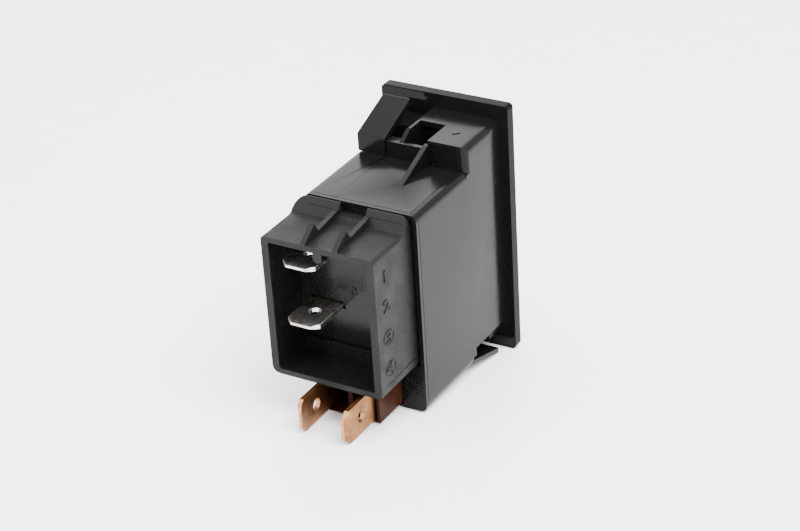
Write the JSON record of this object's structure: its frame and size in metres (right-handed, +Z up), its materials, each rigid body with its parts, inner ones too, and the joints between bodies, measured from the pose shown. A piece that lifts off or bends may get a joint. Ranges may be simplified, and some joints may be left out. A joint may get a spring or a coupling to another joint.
{
  "type": "panel rocker switch with plug-in relay",
  "caption": "Panel rocker switch with a snap-in bezel housing and a plug-in relay cartridge behind it, with flat blade terminals.",
  "frame": {"origin": "middle of the panel cut-out, on the plane where the bezel's back meets the panel", "axes": "-Y is the front with the rocker, +Y points along the housing to the blade terminals, +Z is up, +X is the side that the relay blades are nearer to"},
  "size_m": [0.025, 0.0543, 0.0484],
  "materials": {
    "gloss_black": "polished moulded black nylon",
    "matte_black": "fine spark-eroded texture",
    "phenolic": "brown phenolic moulding",
    "copper": "stamped bare copper",
    "nickel": "bright nickel plate",
    "steel": "plain steel",
    "white_plastic": "natural nylon",
    "lens": "frosted clear plastic",
    "lamp_glass": "clear glass",
    "board": "green solder mask",
    "enamelled_wire": "enamelled winding wire",
    "capacitor_sleeve": "shrink sleeve",
    "resistor_body": "lacquer"
  },
  "bodies": {
    "housing_body": {"housing": "gloss_black", "rocker_pivot_pin": "steel", "lamp_holder": "white_plastic", "pilot_lamp": "lamp_glass", "plunger_spring": "steel", "copper_terminal_left": "copper", "copper_terminal_right": "copper", "switch_base": "phenolic", "cartridge_shroud": "matte_black", "relay_cover": "matte_black", "relay_blade_upper": "nickel", "relay_blade_lower": "nickel", "relay_board": "board", "coil_bobbin": "white_plastic", "coil_winding": "enamelled_wire", "relay_core": "steel", "relay_yoke": "steel", "armature_spring": "nickel", "fixed_contact": "copper", "timer_chip": "matte_black", "timing_capacitor": "capacitor_sleeve", "shunt_resistor": "resistor_body"},
    "rocker": {"rocker_button": "gloss_black", "symbol_lens": "lens"},
    "plunger": {"contact_plunger": "white_plastic", "contact_bridge": "copper"},
    "armature": {"relay_armature": "steel", "moving_contact_leaf": "copper"},
    "upper_latch": {"top_latch": "gloss_black"},
    "lower_latch": {"bottom_latch": "gloss_black"}
  },
  "joints": [
    {"name": "rocker_pivot", "type": "hinge", "parent": "housing_body", "child": "rocker", "pos_m": [0, 0.0046, 0], "axis": [1, 0, 0], "range_deg": [0, 14]},
    {"name": "plunger_travel", "type": "slide", "parent": "housing_body", "child": "plunger", "axis": [0, 1, 0], "range_m": [0, 0.00345]},
    {"name": "armature_hinge", "type": "hinge", "parent": "housing_body", "child": "armature", "pos_m": [-0.00335, 0.0162, 0.0114], "axis": [0, 1, 0], "range_deg": [0, 4], "stiffness_Nm_per_rad": 0.01, "springref_deg": -2.86},
    {"name": "upper_latch_flex", "type": "hinge", "parent": "housing_body", "child": "upper_latch", "pos_m": [0.00775, 0.0116, 0.0173], "axis": [1, 0, 0], "range_deg": [0, 13], "stiffness_Nm_per_rad": 0.15},
    {"name": "lower_latch_flex", "type": "hinge", "parent": "housing_body", "child": "lower_latch", "pos_m": [-0.00775, 0.0122, -0.0207], "axis": [-1, 0, 0], "range_deg": [0, 13], "stiffness_Nm_per_rad": 0.15}
  ],
  "couplings": [
    {"joint": "plunger_travel", "follows": "rocker_pivot", "m_per_rad": 0.014}
  ]
}
